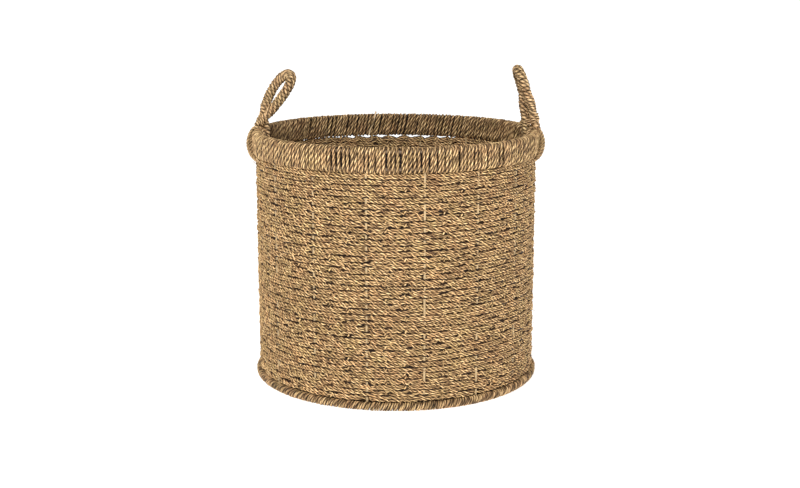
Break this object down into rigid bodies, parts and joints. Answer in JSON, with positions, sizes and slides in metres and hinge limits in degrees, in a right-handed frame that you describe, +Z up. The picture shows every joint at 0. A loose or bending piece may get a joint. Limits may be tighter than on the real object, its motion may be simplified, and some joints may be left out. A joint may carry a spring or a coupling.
{
  "type": "seagrass storage basket",
  "caption": "Round upright storage basket woven from twisted cord on upright rods, with a wrapped rim band and two swinging rope loop handles.",
  "frame": {"origin": "on the floor, at the centre of the basket's base", "axes": "+Z up through the open mouth, -Y the front, the two handles at -X (left) and +X (right)"},
  "size_m": [0.3952, 0.381, 0.413],
  "materials": {
    "seagrass_wall": "twisted dry seagrass cord, woven, matt with a faint waxy sheen",
    "seagrass_rim": "twisted dry seagrass cord, wrapped close",
    "seagrass_base": "twisted dry seagrass cord, whipped and woven",
    "seagrass_handle": "flat seagrass cord wound round a rope core",
    "cane_rod": "pale straw cane, satin",
    "cane_hoop": "cane, satin"
  },
  "bodies": {
    "basket": {"side_weave": "seagrass_wall", "cord_stakes": "seagrass_wall", "rim_wrap": "seagrass_rim", "rim_hoop_upper": "cane_hoop", "rim_hoop_lower": "cane_hoop", "base_border": "seagrass_base", "base_ring": "cane_hoop", "base_weave": "seagrass_base", "base_knot": "seagrass_base", "frame_rod_01": "cane_rod", "frame_rod_02": "cane_rod", "frame_rod_03": "cane_rod", "frame_rod_04": "cane_rod", "frame_rod_05": "cane_rod", "frame_rod_06": "cane_rod", "frame_rod_07": "cane_rod", "frame_rod_08": "cane_rod", "frame_rod_09": "cane_rod", "frame_rod_10": "cane_rod", "frame_rod_11": "cane_rod", "frame_rod_12": "cane_rod", "frame_rod_13": "cane_rod", "frame_rod_14": "cane_rod", "frame_rod_15": "cane_rod", "frame_rod_16": "cane_rod", "base_spoke_01": "cane_rod", "base_spoke_02": "cane_rod", "base_spoke_03": "cane_rod", "base_spoke_04": "cane_rod", "base_spoke_05": "cane_rod", "base_spoke_06": "cane_rod", "base_spoke_07": "cane_rod", "base_spoke_08": "cane_rod", "base_spoke_09": "cane_rod", "base_spoke_10": "cane_rod", "base_spoke_11": "cane_rod", "base_spoke_12": "cane_rod", "base_spoke_13": "cane_rod", "base_spoke_14": "cane_rod", "base_spoke_15": "cane_rod", "base_spoke_16": "cane_rod", "left_rim_strap": "seagrass_handle", "right_rim_strap": "seagrass_handle"},
    "left_handle": {"left_handle_wrap": "seagrass_handle", "left_handle_core": "seagrass_handle", "left_neck_lashing": "seagrass_handle"},
    "right_handle": {"right_handle_wrap": "seagrass_handle", "right_handle_core": "seagrass_handle", "right_neck_lashing": "seagrass_handle"}
  },
  "joints": [
    {"name": "left_handle_swing", "type": "hinge", "parent": "basket", "child": "left_handle", "pos_m": [-0.177, 0, 0.3415], "axis": [0, 1, 0], "range_deg": [-125, 64]},
    {"name": "right_handle_swing", "type": "hinge", "parent": "basket", "child": "right_handle", "pos_m": [0.177, 0, 0.3415], "axis": [0, -1, 0], "range_deg": [-108, 81]}
  ]
}
